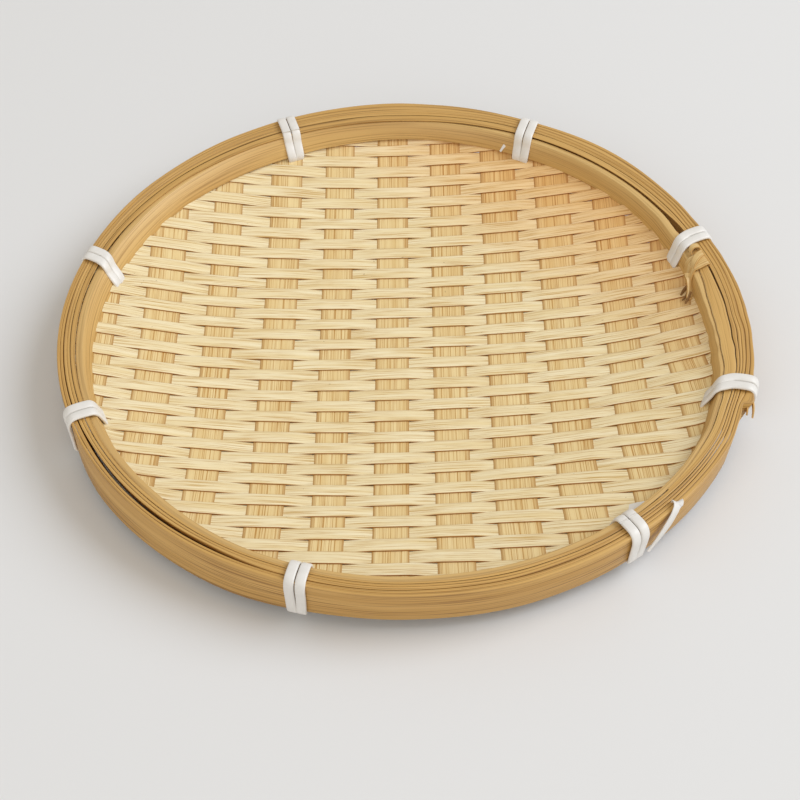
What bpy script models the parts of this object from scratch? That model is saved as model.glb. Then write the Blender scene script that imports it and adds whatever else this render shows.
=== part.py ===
"""Round bamboo tray (zaru): a shallow woven mat held between bamboo hoops by eight tape ties.

Metres, +Z up. The origin is under the middle of the tray, on the surface it stands on.
Warps run along Y, wefts along X. The weave is laid out flat, and one profile then carries it
up the bowl, round the fold under the inner hoop and up between the hoops.
"""

import math

import bmesh
import bpy
from mathutils import Vector

# Overall size
OUTER_DIAMETER = 0.180
INNER_DEPTH = 0.012

# Woven mat
WARP_WIDTH = 0.0087
WARP_SPACE = 0.00655
WARP_THICKNESS = 0.0006
WARP_SHIFT = -0.0027
WEFT_WIDTH = 0.0033
WEFT_SPACE = 0.00045
WEFT_THICKNESS = 0.0005
WEFT_SHIFT = -0.0006
WEAVE_GAP = 0.00034
FLOAT_MARGIN = 0.0004
FOOT_RADIUS = 0.015
FOLD_RADIUS = 0.004
FOLD_DEPTH = 0.00166

# Rows beyond the middle ones are joined into one piece at each edge, by turns between the hoops
SEPARATE_WEFTS = 33
TURN_WIDTH = 0.0008
TURN_THICKNESS = 0.0003
TURN_INSET = 0.0002
TURN_STEPS = 4

# Rim, from the outside in: thickness across the top, height and lean from the vertical
RIM_GAP = 0.0003
HOOP_TO_MAT_GAP = 0.0006
OUTER_HOOP_THICKNESS = 0.0010
OUTER_HOOP_HEIGHT = 0.0096
OUTER_HOOP_LEAN = math.radians(6.5)
OUTER_COVER_THICKNESS = 0.0009
OUTER_COVER_HEIGHT = 0.0062
OUTER_COVER_LEAN = math.radians(10)
INNER_COVER_THICKNESS = 0.0009
INNER_COVER_HEIGHT = 0.0056
INNER_COVER_LEAN = math.radians(14)
CORE_THICKNESS = 0.0022
CORE_HEIGHT = 0.0019
INNER_HOOP_THICKNESS = 0.00145
WALL_LEAN = math.radians(26)
RIM_STEPS = 48

# Plastic tape ties, two turns each, anticlockwise from the right seen from above
TIE_ANGLES = [
    math.radians(degrees) for degrees in (19.6, 63.5, 110.5, 161.6, 201.1, 252.5, 306.0, 342.5)
]
TAPE_WIDTH = 0.0026
TAPE_THICKNESS = 0.00045
TAPE_GAP = 0.0003
TAPE_TURNS = 2

# Split-bamboo lashing over the inner hoop
LASHING_ANGLE = math.radians(13.1)
LASHING_WIDTH = 0.0045
LASHING_THICKNESS = 0.0005

# How finely curved strips are divided
STATION_SPACING = 0.017
LEAST_SPACING = 0.0006
CHORD_TOLERANCE = 0.00014
SMOOTH_ANGLE = math.radians(40)

warp_pitch = WARP_WIDTH + WARP_SPACE
weft_pitch = WEFT_WIDTH + WEFT_SPACE
half_mat = WARP_THICKNESS / 2 + WEAVE_GAP + WEFT_THICKNESS
weave_lift = WARP_THICKNESS / 2 + WEAVE_GAP + WEFT_THICKNESS / 2
rim_top = 2 * half_mat + INNER_DEPTH
outer_radius = OUTER_DIAMETER / 2
wall_slope = math.pi / 2 - WALL_LEAN

for old_object in list(bpy.data.objects):
    bpy.data.objects.remove(old_object)


# Materials

def surface(name, colour, roughness):
    """A Principled material with one colour and roughness."""
    material = bpy.data.materials.new(name)
    material.use_nodes = True
    shader = material.node_tree.nodes["Principled BSDF"]
    shader.inputs["Base Color"].default_value = (*colour, 1)
    shader.inputs["Roughness"].default_value = roughness
    shader.inputs["Metallic"].default_value = 0
    return material


weft_bamboo = surface("weft_bamboo", (0.80, 0.64, 0.36), 0.55)
warp_bamboo = surface("warp_bamboo", (0.74, 0.53, 0.24), 0.60)
hoop_bamboo = surface("hoop_bamboo", (0.56, 0.38, 0.16), 0.45)
lashing_bamboo = surface("lashing_bamboo", (0.62, 0.44, 0.20), 0.55)
white_tape = surface("white_tape", (0.86, 0.86, 0.85), 0.35)


def add_object(name, mesh_builder, material):
    """Turn a bmesh into a named object with its material."""
    mesh = bpy.data.meshes.new(name)
    mesh_builder.to_mesh(mesh)
    mesh_builder.free()
    mesh.materials.append(material)
    part = bpy.data.objects.new(name, mesh)
    bpy.context.scene.collection.objects.link(part)
    return part


def strip(name, rows, thickness, material):
    """A bent strip: rows of points along its mid-surface, given its thickness by Solidify."""
    mesh_builder = bmesh.new()
    bmesh.ops.create_grid(mesh_builder, x_segments=len(rows[0]) - 1, y_segments=len(rows) - 1, size=1)
    points = [point for row in rows for point in row]
    for vertex, point in zip(mesh_builder.verts, points):
        vertex.co = point
    part = add_object(name, mesh_builder, material)
    wall = part.modifiers.new("thickness", "SOLIDIFY")
    wall.thickness = thickness
    wall.offset = 0
    wall.use_even_offset = True
    part.data.shade_smooth()
    part.data.set_sharp_from_angle(angle=SMOOTH_ANGLE)
    return part


# Rim sections. Each strip's top is level with the rim's top, and (radius, height) pairs run
# inner top, outer top, outer bottom, inner bottom.

def leaning_section(outer_top_radius, thickness, height, lean):
    """The section of a strip that stands on edge and leans out by an angle."""
    bottom = rim_top - height
    inward = height * math.tan(lean)
    inner_top_radius = outer_top_radius - thickness
    return [
        (inner_top_radius, rim_top),
        (outer_top_radius, rim_top),
        (outer_top_radius - inward, bottom),
        (inner_top_radius - inward, bottom),
    ]


outer_cover_top = outer_radius - OUTER_HOOP_THICKNESS - RIM_GAP
inner_cover_top = outer_cover_top - OUTER_COVER_THICKNESS - RIM_GAP
core_top = inner_cover_top - INNER_COVER_THICKNESS - RIM_GAP
inner_hoop_top = core_top - CORE_THICKNESS - RIM_GAP

outer_hoop_section = leaning_section(outer_radius, OUTER_HOOP_THICKNESS, OUTER_HOOP_HEIGHT, OUTER_HOOP_LEAN)
outer_cover_section = leaning_section(
    outer_cover_top, OUTER_COVER_THICKNESS, OUTER_COVER_HEIGHT, OUTER_COVER_LEAN)
inner_cover_section = leaning_section(
    inner_cover_top, INNER_COVER_THICKNESS, INNER_COVER_HEIGHT, INNER_COVER_LEAN)
core_section = leaning_section(core_top, CORE_THICKNESS, CORE_HEIGHT, WALL_LEAN)

# The mat's profile: a flat foot, the bowl's arc, the fold's arc and the straight wall between
# the hoops. The wall runs parallel to the inner hoop's outer face, and the fold touches both.

wall_top_radius = inner_hoop_top + (HOOP_TO_MAT_GAP + half_mat) / math.cos(WALL_LEAN)
fold_inset = FOLD_RADIUS / math.cos(WALL_LEAN) + FOLD_DEPTH * math.tan(WALL_LEAN)
fold_centre = Vector((wall_top_radius - fold_inset, rim_top - FOLD_DEPTH))

# The bowl's arc starts level at the foot's edge and runs smoothly into the fold's arc.
bowl_run = fold_centre.x - FOOT_RADIUS
bowl_rise = fold_centre.y - half_mat
bowl_radius = (bowl_run ** 2 + bowl_rise ** 2 - FOLD_RADIUS ** 2) / (2 * (bowl_rise - FOLD_RADIUS))
bowl_slope = math.asin(bowl_run / (bowl_radius - FOLD_RADIUS))
fold_angle = wall_slope - bowl_slope

foot_end = FOOT_RADIUS
fold_start = foot_end + bowl_radius * bowl_slope
fold_end = fold_start + FOLD_RADIUS * fold_angle


def along_arc(start, distance, arc_radius):
    """Move along an arc that turns upwards from start, a (radius, height, slope) triple."""
    radius, height, slope = start
    end_slope = slope + distance / arc_radius
    radius += arc_radius * (math.sin(end_slope) - math.sin(slope))
    height += arc_radius * (math.cos(slope) - math.cos(end_slope))
    return radius, height, end_slope


foot_edge = (FOOT_RADIUS, half_mat, 0)
bowl_edge = along_arc(foot_edge, fold_start - foot_end, bowl_radius)
fold_edge = along_arc(bowl_edge, fold_end - fold_start, FOLD_RADIUS)


def mat_profile(flat_radius):
    """Radius, height and slope of the mat's mid-surface at a radius of the flat weave."""
    if flat_radius <= foot_end:
        return flat_radius, half_mat, 0
    if flat_radius <= fold_start:
        return along_arc(foot_edge, flat_radius - foot_end, bowl_radius)
    if flat_radius <= fold_end:
        return along_arc(bowl_edge, flat_radius - fold_start, FOLD_RADIUS)
    radius, height, slope = fold_edge
    beyond = flat_radius - fold_end
    return radius + beyond * math.cos(slope), height + beyond * math.sin(slope), slope


def mat_point(x, y, lift):
    """A point of the flat weave carried onto the bowl, at a lift above its mid-surface."""
    radius, height, slope = mat_profile(math.hypot(x, y))
    outward = Vector((x, y, 0)).normalized()
    return outward * (radius - lift * math.sin(slope)) + Vector((0, 0, height + lift * math.cos(slope)))


# The mat's edge is trimmed just under the core strip, and the warps stop short of the wefts' turns.
core_bottom = rim_top - CORE_HEIGHT
mat_edge_height = core_bottom - RIM_GAP - half_mat * math.cos(wall_slope)
weft_reach = fold_end + (mat_edge_height - fold_edge[1]) / math.sin(wall_slope)
warp_reach = weft_reach - TURN_INSET - TURN_WIDTH - RIM_GAP

# Warps and wefts are numbered from the middle one, which is 0, as far as there is room for them.
widest_warp_place = warp_reach - 2 * LEAST_SPACING - WARP_WIDTH / 2 - abs(WARP_SHIFT)
widest_weft_place = fold_start - WEFT_WIDTH / 2 - abs(WEFT_SHIFT)
last_warp = int(widest_warp_place / warp_pitch)
last_weft = int(widest_weft_place / weft_pitch)
last_separate_weft = min(SEPARATE_WEFTS // 2, last_weft - 1)

# The inner hoop sits in the fold, square to the mat at its lower edge.
corner_reach = (FOLD_RADIUS - half_mat - HOOP_TO_MAT_GAP) / math.cos(fold_angle / 2)
corner_direction = (bowl_slope + wall_slope) / 2
hoop_foot = fold_centre + corner_reach * Vector((math.sin(corner_direction), -math.cos(corner_direction)))
hoop_foot_width = INNER_HOOP_THICKNESS * math.cos(WALL_LEAN) / math.sin(fold_angle)
hoop_toe = hoop_foot - hoop_foot_width * Vector((math.cos(bowl_slope), math.sin(bowl_slope)))
inner_hoop_section = [
    (inner_hoop_top - INNER_HOOP_THICKNESS, rim_top),
    (inner_hoop_top, rim_top),
    tuple(hoop_foot),
    tuple(hoop_toe),
]


# Ties: where the tape runs round the rim and through the mat

tape_offset = RIM_GAP + TAPE_THICKNESS / 2
tie_radius = hoop_toe.x - tape_offset
tie_flat_radius = foot_end + bowl_radius * math.asin((tie_radius - FOOT_RADIUS) / bowl_radius)
tape_pitch = TAPE_WIDTH + TAPE_GAP
last_turn = tape_pitch * (TAPE_TURNS - 1) / 2
window_half_width = last_turn + TAPE_WIDTH / 2 + RIM_GAP
window_half_depth = TAPE_THICKNESS / 2 + RIM_GAP
trimmed_reach = tie_flat_radius - window_half_depth - RIM_GAP


def meets_a_tie(x, y):
    """Whether a strip that crosses the ties' circle at this point would run into a tie."""
    angle = math.atan2(y, x)
    for tie_angle in TIE_ANGLES:
        apart = math.remainder(angle - tie_angle, math.tau) * tie_flat_radius
        if abs(apart) < window_half_width + RIM_GAP:
            return True
    return False


# Strips of the mat. A strip runs along one axis at a fixed place on the other. Its rows of points
# are straight across it as far as they can be, and the last ones fan out to the mat's round edge.
# Rows and columns are added where a chord would stray too far from the mat's surface.

def chord_error(surface, start, finish):
    """How far a strip's surface lies from the middle of a chord between two flat points."""
    middle = [(first + last) / 2 for first, last in zip(start, finish)]
    return (surface(*middle) - (surface(*start) + surface(*finish)) / 2).length


def columns_across(surface, place, width, reach):
    """Places of a strip's points across its width, as few as its slant over the fold allows."""
    columns = [place - width / 2, place + width / 2]
    nearest = max(0, fold_start ** 2 - place ** 2) ** 0.5
    farthest = max(0, reach ** 2 - max(map(abs, columns)) ** 2) ** 0.5
    tests = [nearest, (nearest + farthest) / 2, farthest]
    while any(
        chord_error(surface, (test, low), (test, high)) > CHORD_TOLERANCE
        for test in tests for low, high in zip(columns, columns[1:])
    ):
        count = len(columns)
        columns = [place - width / 2 + width * step / count for step in range(count + 1)]
    return columns


def refined(surface, stations, columns):
    """Put rows between two neighbours wherever a chord from one to the next strays too far."""
    finished = stations[:1]
    waiting = stations[:0:-1]
    while waiting:
        last, following = finished[-1], waiting[-1]
        chords = zip(zip(last, columns), zip(following, columns))
        if max(chord_error(surface, *chord) for chord in chords) > CHORD_TOLERANCE:
            waiting.append([(near + far) / 2 for near, far in zip(last, following)])
        else:
            finished.append(waiting.pop())
    return finished


def half_stations(columns, kinks, reach, side):
    """Rows of places along one half of a strip, from the middle out: one place for each column."""
    straight_end = math.sqrt((reach - LEAST_SPACING) ** 2 - max(map(abs, columns)) ** 2)
    middle = sum(columns) / len(columns)
    wanted = sorted(place for place in kinks if 0 < place < straight_end)
    fold_place = max(0, fold_start ** 2 - middle ** 2) ** 0.5
    if 0 < fold_place < straight_end and all(abs(fold_place - other) > 2 * LEAST_SPACING for other in wanted):
        wanted = sorted(wanted + [fold_place])
    if wanted and straight_end - wanted[-1] < LEAST_SPACING:
        straight_end = wanted.pop()
    stations = [[place] * len(columns) for place in wanted + [straight_end]]
    stations.append([math.sqrt(reach ** 2 - column ** 2) for column in columns])
    return [[side * place for place in row] for row in stations]


def mat_strip(name, surface, place, width, kinks, reaches, thickness, material):
    """A strip of the mat on its surface, between its reaches at its low end and its high end."""
    columns = columns_across(surface, place, width, max(reaches))
    low = half_stations(columns, [-kink for kink in kinks], reaches[0], -1)
    high = half_stations(columns, kinks, reaches[1], 1)
    stations = refined(surface, low[::-1] + high, columns)
    rows = [[surface(*point) for point in zip(places, columns)] for places in stations]
    return strip(name, rows, thickness, material)


def warp_place(index):
    """Where a warp's middle lies along X, with the middle warp at the weave's own shift."""
    return index * warp_pitch + WARP_SHIFT


def weft_place(row):
    """Where a weft's middle lies along Y, with the middle row at the weave's own shift."""
    return row * weft_pitch + WEFT_SHIFT


def weft_name(row):
    """A weft's name, numbered from the near edge of the mat."""
    return f"weft_{row + last_weft + 1:02d}"


half_float = WARP_WIDTH / 2 + FLOAT_MARGIN


def weft_lift(row, x):
    """Height of a weft off the mat's mid-surface: flat over or under each warp, sloping between."""
    position = (x - WARP_SHIFT) / warp_pitch
    nearest = round(position)
    passes_over = (nearest + row) % 2 == 0
    level = weave_lift if passes_over else -weave_lift
    distance = abs(position - nearest) * warp_pitch
    slope_length = warp_pitch / 2 - half_float
    return level * min(1, 1 - (distance - half_float) / slope_length)


def warp_surface(y, x):
    """The mid-surface of a warp, which lies flat in the mat."""
    return mat_point(x, y, 0)


def weft_strip(name, row, reaches):
    """One weft, from its left end to its right end."""

    def weft_surface(x, y):
        return mat_point(x, y, weft_lift(row, x))

    warps = [warp_place(index) for index in range(-last_warp - 1, last_warp + 2)]
    kinks = [x + side * half_float for x in warps for side in (-1, 1)]
    return mat_strip(
        name, weft_surface, weft_place(row), WEFT_WIDTH, kinks, reaches, WEFT_THICKNESS, weft_bamboo)


def weft_end(row, side):
    """How far a weft reaches on one side: short of a tie that it would run into."""
    y = weft_place(row)
    for edge in (y - WEFT_WIDTH / 2, y, y + WEFT_WIDTH / 2):
        x = side * math.sqrt(tie_flat_radius ** 2 - edge ** 2)
        if meets_a_tie(x, edge):
            return trimmed_reach
    return weft_reach


# Windows that the ties leave in the warps

def tie_window(number, angle):
    """A cutter for the opening that one tie's turns pass through."""
    mesh_builder = bmesh.new()
    bmesh.ops.create_cube(mesh_builder, size=1)
    size = Vector((2 * window_half_depth, 2 * window_half_width, INNER_DEPTH))
    bmesh.ops.scale(mesh_builder, vec=size, verts=mesh_builder.verts)
    window = add_object(f"window_{number:02d}", mesh_builder, white_tape)
    middle = mat_point(tie_flat_radius * math.cos(angle), tie_flat_radius * math.sin(angle), 0)
    window.location = middle
    window.rotation_euler.z = angle
    window.hide_render = True
    window.display_type = "WIRE"
    return window


windows = [tie_window(number, angle) for number, angle in enumerate(TIE_ANGLES, start=1)]


def cut_windows(part, axis, low, high):
    """Cut the windows of the ties that pass through a band between two places on an axis."""
    for window in windows:
        place = window.location[axis]
        if low - window_half_width < place < high + window_half_width:
            cut = part.modifiers.new(window.name, "BOOLEAN")
            cut.operation = "DIFFERENCE"
            cut.solver = "EXACT"
            cut.object = window


# Warps

for index in range(-last_warp, last_warp + 1):
    x = warp_place(index)
    spread = [(step + 0.5) * STATION_SPACING for step in range(int(fold_start / STATION_SPACING))]
    kinks = [side * place for place in spread for side in (-1, 1)]
    warp = mat_strip(
        f"warp_{index + last_warp + 1:02d}", warp_surface, x, WARP_WIDTH, kinks, (warp_reach, warp_reach),
        WARP_THICKNESS, warp_bamboo)
    cut_windows(warp, 0, x - WARP_WIDTH / 2, x + WARP_WIDTH / 2)


# Wefts that are strips of their own

for row in range(-last_separate_weft, last_separate_weft + 1):
    weft_strip(weft_name(row), row, (weft_end(row, -1), weft_end(row, 1)))


# Wefts of the mat's near and far edges, where neighbouring rows are joined at their ends

def turn(name, row, side):
    """The short turn between one row's end and the next row's, beyond the warps' ends."""
    middle_radius = weft_reach - TURN_INSET - TURN_WIDTH / 2
    angles = []
    lifts = []
    for end_row in (row, row + 1):
        y = weft_place(end_row)
        x = side * math.sqrt(middle_radius ** 2 - y ** 2)
        angles.append(math.atan2(y, x))
        lifts.append(weft_lift(end_row, x))
    swing = math.remainder(angles[1] - angles[0], math.tau)
    rows = []
    for step in range(TURN_STEPS + 1):
        share = step / TURN_STEPS
        angle = angles[0] + swing * share
        lift = lifts[0] + (lifts[1] - lifts[0]) * share
        radii = (middle_radius - TURN_WIDTH / 2, middle_radius + TURN_WIDTH / 2)
        rows.append([mat_point(radius * math.cos(angle), radius * math.sin(angle), lift) for radius in radii])
    return strip(name, rows, TURN_THICKNESS, weft_bamboo)


def edge_wefts(name, rows):
    """A run of neighbouring rows joined by turns at both ends, with the ties' windows cut out."""
    full_width = (weft_reach, weft_reach)
    joined = weft_strip(name, rows[0], full_width)
    pieces = []
    for row in rows[:-1]:
        pieces.append(turn(f"{weft_name(row)}_left_turn", row, -1))
        pieces.append(turn(f"{weft_name(row)}_right_turn", row, 1))
        pieces.append(weft_strip(weft_name(row + 1), row + 1, full_width))
    for piece in pieces:
        piece.hide_render = True
        piece.display_type = "WIRE"
        join = joined.modifiers.new(piece.name, "BOOLEAN")
        join.operation = "UNION"
        join.solver = "EXACT"
        join.object = piece
    cut_windows(joined, 1, weft_place(rows[0]) - WEFT_WIDTH / 2, weft_place(rows[-1]) + WEFT_WIDTH / 2)


edge_wefts("near_edge_wefts", range(-last_weft, -last_separate_weft))
edge_wefts("far_edge_wefts", range(last_separate_weft + 1, last_weft + 1))


# Rim strips, each a ring turned from its section

def hoop(name, section):
    """A closed hoop: its section spun once round the tray's axis."""
    mesh_builder = bmesh.new()
    corners = [mesh_builder.verts.new((radius, 0, height)) for radius, height in section]
    sides = [mesh_builder.edges.new((corners[index - 1], corners[index])) for index in range(len(corners))]
    bmesh.ops.spin(
        mesh_builder, geom=corners + sides, cent=(0, 0, 0), axis=(0, 0, 1),
        angle=math.tau, steps=RIM_STEPS, use_merge=True, use_duplicate=False)
    bmesh.ops.recalc_face_normals(mesh_builder, faces=mesh_builder.faces)
    ring = add_object(name, mesh_builder, hoop_bamboo)
    ring.data.shade_smooth()
    ring.data.set_sharp_from_angle(angle=SMOOTH_ANGLE)
    return ring


hoop("outer_hoop", outer_hoop_section)
hoop("outer_cover_strip", outer_cover_section)
hoop("inner_cover_strip", inner_cover_section)
hoop("core_strip", core_section)
hoop("inner_hoop", inner_hoop_section)


# Ties: tape wound twice round the whole rim and through the mat

def round_corner(corner, first_direction, last_direction, offset):
    """Three points round a corner of a section, at an offset from it."""
    start, finish = (Vector((math.cos(angle), math.sin(angle))) for angle in (first_direction, last_direction))
    between = (start + finish).normalized()
    return [Vector(corner) + offset * direction for direction in (start, between, finish)]


def tape_loop():
    """The tape's middle line once round the rim, as (radius, height), from under the mat."""
    up, down = math.pi / 2, -math.pi / 2
    slope = mat_profile(tie_flat_radius)[2]
    underside = mat_profile(tie_flat_radius)[1] - half_mat / math.cos(slope) - tape_offset
    loop = [Vector((tie_radius, underside)), Vector((tie_radius, hoop_toe.y))]
    loop += round_corner(inner_hoop_section[0], math.pi - WALL_LEAN, up, tape_offset)
    loop += round_corner(outer_hoop_section[1], up, -OUTER_HOOP_LEAN, tape_offset)
    loop += round_corner(outer_hoop_section[2], -OUTER_HOOP_LEAN, down, tape_offset)
    loop.append(Vector(outer_hoop_section[3]) + Vector((0, -tape_offset)))
    return loop


def tie(name, angle):
    """One tie: a flat tape whose turns lie side by side."""
    loop = tape_loop()
    path = loop * TAPE_TURNS + loop[:1]
    lengths = [0]
    for start, finish in zip(path, path[1:]):
        lengths.append(lengths[-1] + (finish - start).length)
    outward = Vector((math.cos(angle), math.sin(angle), 0))
    sideways = Vector((-math.sin(angle), math.cos(angle), 0))
    rows = []
    for point, length in zip(path, lengths):
        middle = tape_pitch * TAPE_TURNS * length / lengths[-1] - last_turn
        place = outward * point.x + Vector((0, 0, point.y))
        rows.append([place + sideways * (middle + side * TAPE_WIDTH / 2) for side in (-1, 1)])
    return strip(name, rows, TAPE_THICKNESS, white_tape)


for number, angle in enumerate(TIE_ANGLES, start=1):
    tie(f"tie_{number:02d}", angle)


# Lashing: a split-bamboo strip bent over the inner hoop and onto the core strip

lashing_offset = RIM_GAP + LASHING_THICKNESS / 2
toe_side = Vector((-math.cos(WALL_LEAN), math.sin(WALL_LEAN)))
lashing_path = [hoop_toe + lashing_offset * toe_side]
lashing_path += round_corner(inner_hoop_section[0], math.pi - WALL_LEAN, math.pi / 2, lashing_offset)
lashing_path.append(Vector((core_top - CORE_THICKNESS / 2, rim_top + lashing_offset)))
lashing_outward = Vector((math.cos(LASHING_ANGLE), math.sin(LASHING_ANGLE), 0))
lashing_sideways = Vector((-math.sin(LASHING_ANGLE), math.cos(LASHING_ANGLE), 0))
lashing_rows = [
    [
        lashing_outward * point.x + Vector((0, 0, point.y)) + lashing_sideways * side * LASHING_WIDTH / 2
        for side in (-1, 1)
    ]
    for point in lashing_path
]
strip("hoop_lashing", lashing_rows, LASHING_THICKNESS, lashing_bamboo)
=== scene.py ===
import math
from bisect import bisect

import bmesh
import bpy
from mathutils import Matrix, Vector, noise


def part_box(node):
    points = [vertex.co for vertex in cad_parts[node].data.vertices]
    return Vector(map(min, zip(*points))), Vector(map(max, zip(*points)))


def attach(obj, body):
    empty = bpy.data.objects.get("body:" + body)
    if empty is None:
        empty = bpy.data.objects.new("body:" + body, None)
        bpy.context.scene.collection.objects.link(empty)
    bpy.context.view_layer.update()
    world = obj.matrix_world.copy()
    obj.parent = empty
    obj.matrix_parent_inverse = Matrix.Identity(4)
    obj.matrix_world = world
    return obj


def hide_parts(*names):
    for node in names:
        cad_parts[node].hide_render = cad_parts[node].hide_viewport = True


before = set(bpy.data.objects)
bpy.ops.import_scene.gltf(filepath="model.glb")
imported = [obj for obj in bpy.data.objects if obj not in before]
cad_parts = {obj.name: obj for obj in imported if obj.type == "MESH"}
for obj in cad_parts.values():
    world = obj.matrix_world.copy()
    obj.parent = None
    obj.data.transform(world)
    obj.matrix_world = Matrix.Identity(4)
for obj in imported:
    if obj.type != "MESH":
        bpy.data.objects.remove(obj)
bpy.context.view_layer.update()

# The shape of the woven mat
# The mat is woven flat and then pressed into a shallow bowl: a level foot, a long easy curve, a
# tighter shoulder, and a fold that turns the edge up between the hoops. Lengths are in metres.

mm = 0.001
WARP_TURN = 0.0175
WEFT_TURN = 0.0087
WARP_PITCH = 15.25 * mm
WARP_SHIFT = -2.4 * mm
WARP_THICKNESS = 0.1 * mm
WEFT_PITCH = 3.82 * mm
WEFT_SHIFT = 0.4 * mm
WEFT_THICKNESS = 0.36 * mm
WEAVE_LIFT = 0.235 * mm
HOOP_TOP_RADIUS = 83.4 * mm
HOOP_DROP = 0.6 * mm
WALL_LEAN = math.radians(26)
WALL_OFFSET = 0.9 * mm
FOLD_DROP = 3.8 * mm
FOLD_RADIUS = 3 * mm
FOLD_SLOPE = math.radians(30)
SHOULDER_RADIUS = 14 * mm
BOWL_SLOPE = math.radians(12.5)
EDGE_BLEND_START = 60 * mm
SIDE_RISE = 1.6 * mm
SIDE_RISE_START = 48 * mm

# Azimuth in degrees, then the radius in millimetres of the inner hoop's outer top edge there.
HOOP_READINGS = [
    (0, 81.0), (4, 80.8), (9, 81.3), (13, 81.8), (22, 82.4), (30, 83.1), (40, 83.3), (62, 83.5), (75, 83.8),
    (90, 84.2), (120, 84.3), (180, 84.2), (203, 84.2), (222, 84.2), (246, 85.0), (270, 85.7), (290, 86.3),
    (304, 86.6), (320, 86.5), (330, 86.0), (338, 85.3), (345, 84.0), (352, 82.4), (356, 81.6),
]

rim_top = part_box("outer_hoop")[1].z
rim_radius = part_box("outer_hoop")[1].x
wall_slope = math.pi / 2 - WALL_LEAN
foot_height = WEAVE_LIFT + WEFT_THICKNESS / 2


def reading_at(readings, azimuth):
    """A reading in metres at an azimuth, eased between the ones on either side of it."""
    degrees = math.degrees(azimuth) % 360
    for low, high in zip(readings, readings[1:] + [(360, readings[0][1])]):
        if degrees <= high[0]:
            share = (degrees - low[0]) / (high[0] - low[0])
            return (low[1] + (high[1] - low[1]) * share * share * (3 - 2 * share)) * mm
    return readings[0][1] * mm


def arc_step(arc_radius, start_slope, end_slope):
    """How far an arc that turns upwards moves outwards and up."""
    outwards = arc_radius * (math.sin(end_slope) - math.sin(start_slope))
    upwards = arc_radius * (math.cos(start_slope) - math.cos(end_slope))
    return outwards, upwards


fold_drop = FOLD_DROP - HOOP_DROP
fold_end_radius = HOOP_TOP_RADIUS + WALL_OFFSET / math.cos(WALL_LEAN) - fold_drop * math.tan(WALL_LEAN)
fold_run, fold_rise = arc_step(FOLD_RADIUS, FOLD_SLOPE, wall_slope)
shoulder_run, shoulder_rise = arc_step(SHOULDER_RADIUS, BOWL_SLOPE, FOLD_SLOPE)
bowl_rise = rim_top - FOLD_DROP - fold_rise - shoulder_rise - foot_height
bowl_arc = bowl_rise / (1 - math.cos(BOWL_SLOPE))
bowl_run = bowl_arc * math.sin(BOWL_SLOPE)
foot_radius = fold_end_radius - fold_run - shoulder_run - bowl_run
arcs = [(bowl_arc, BOWL_SLOPE), (SHOULDER_RADIUS, FOLD_SLOPE), (FOLD_RADIUS, wall_slope)]
mat_reach = foot_radius
previous_slope = 0
for arc_radius, end_slope in arcs:
    mat_reach += arc_radius * (end_slope - previous_slope)
    previous_slope = end_slope
mat_reach += 1.5 * mm


def mat_profile(reach):
    """Radius, height and slope of the mat's middle at a distance from the middle of the flat weave."""
    radius = min(reach, foot_radius)
    height = foot_height
    slope = 0
    left = reach - radius
    for arc_radius, end_slope in arcs:
        if left <= 0:
            return radius, height, slope
        turned = min(left / arc_radius, end_slope - slope)
        outwards, upwards = arc_step(arc_radius, slope, slope + turned)
        radius += outwards
        height += upwards
        slope += turned
        left -= turned * arc_radius
    return radius + left * math.cos(slope), height + left * math.sin(slope), slope


def mat_point(x, y, lift):
    """A point of the flat weave carried onto the bowl, at a lift above the mat's middle."""
    x, y = x + WARP_TURN * y, y + WEFT_TURN * x
    radius, height, slope = mat_profile(math.hypot(x, y))
    azimuth = math.atan2(y, x)
    share = min(1, max(0, (radius - EDGE_BLEND_START) / (fold_end_radius - EDGE_BLEND_START)))
    pressed = reading_at(HOOP_READINGS, azimuth) - HOOP_TOP_RADIUS
    radius += pressed * share * share * (3 - 2 * share) - lift * math.sin(slope)
    height += lift * math.cos(slope)
    share = min(1, max(0, (radius - SIDE_RISE_START) / (fold_end_radius - SIDE_RISE_START)))
    height += SIDE_RISE * math.cos(azimuth) ** 2 * share * share * (3 - 2 * share)
    return Vector((radius * math.cos(azimuth), radius * math.sin(azimuth), height))


# Warps
# Eleven broad split-bamboo strips run from the near edge to the far one. They are the inner layer
# of the culm, split and scraped flat, so their fibres show as fine golden-brown lines.

WARP_WIDTHS = [8.5, 9.3, 7.75, 8.8, 8.3, 8.8, 8.8, 10.1, 9.8, 8.8, 10.3]
WARP_OFFSETS = [-0.9, -0.9, -0.8, 0, 0, 0, 0, 0, 0, 0.3, 0.9]
WARP_STATION = 1.2 * mm
WARP_COLUMNS = 9
WARP_ROUNDING = 0.04 * mm
EDGE_ROUNDING = 0.09 * mm
UV_STEP = 0.37
GLOW_COLOUR = "#E8A850"
# Painted shade with warm bounced light: the colour that the mat's strips are multiplied with towards the tray's far
# right, where the right rim shades them, and the way that side lies.
RIM_SHADE_COLOUR = "#F9BC59"
RIM_SHADE_SIDE = (0.7, 0.7, 0)


def linear(colour):
    """An sRGB hex colour as the linear colour that a shader takes."""
    channels = [int(colour[place:place + 2], 16) / 255 for place in (1, 3, 5)]
    return (*[c / 12.92 if c <= 0.04045 else ((c + 0.055) / 1.055) ** 2.4 for c in channels], 1)


def add_node(material, kind, settings, inputs):
    """Add a node to a material, with its settings by name and its inputs by name or number."""
    node = material.node_tree.nodes.new(kind)
    for name, value in settings.items():
        setattr(node, name, value)
    for name, value in inputs.items():
        if isinstance(value, bpy.types.NodeSocket):
            material.node_tree.links.new(value, node.inputs[name])
        else:
            node.inputs[name].default_value = value
    return node


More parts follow.
